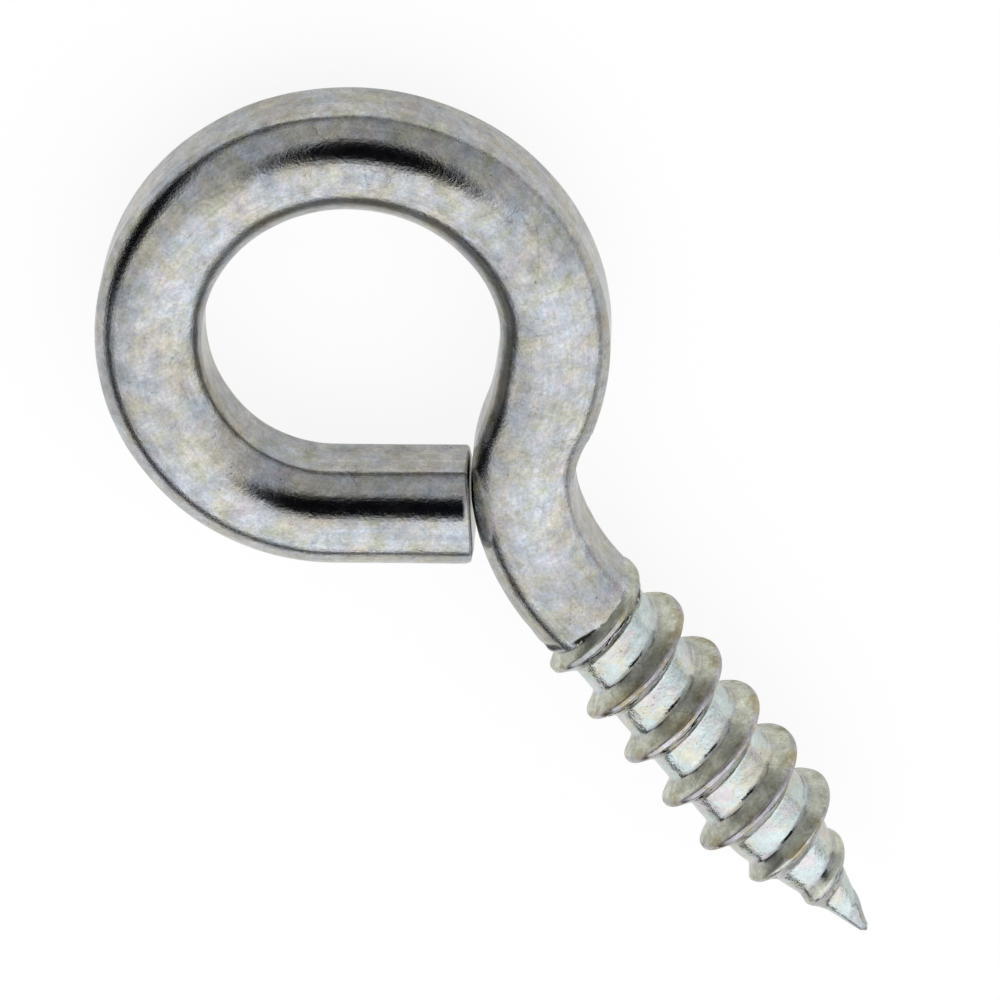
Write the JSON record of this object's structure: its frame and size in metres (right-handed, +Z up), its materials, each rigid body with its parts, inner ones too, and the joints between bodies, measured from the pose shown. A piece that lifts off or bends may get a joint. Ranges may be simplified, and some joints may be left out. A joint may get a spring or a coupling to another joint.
{
  "type": "screw eye",
  "caption": "Zinc-plated steel screw eye: a round closed eye on a short wood-screw shank with a gimlet point.",
  "frame": {"origin": "centre of the bounding box in X and Y, on the floor that the part lies on", "axes": "+Y along the length from the point to the eye, +X across the eye, with the cut end on the -X side, +Z up through the eye as the part lies flat"},
  "size_m": [0.0176, 0.0384, 0.0052],
  "materials": {
    "zinc": "bright zinc plate over drawn steel, a little mottled"
  },
  "bodies": {
    "root": {"screw_eye": "zinc"}
  },
  "joints": []
}
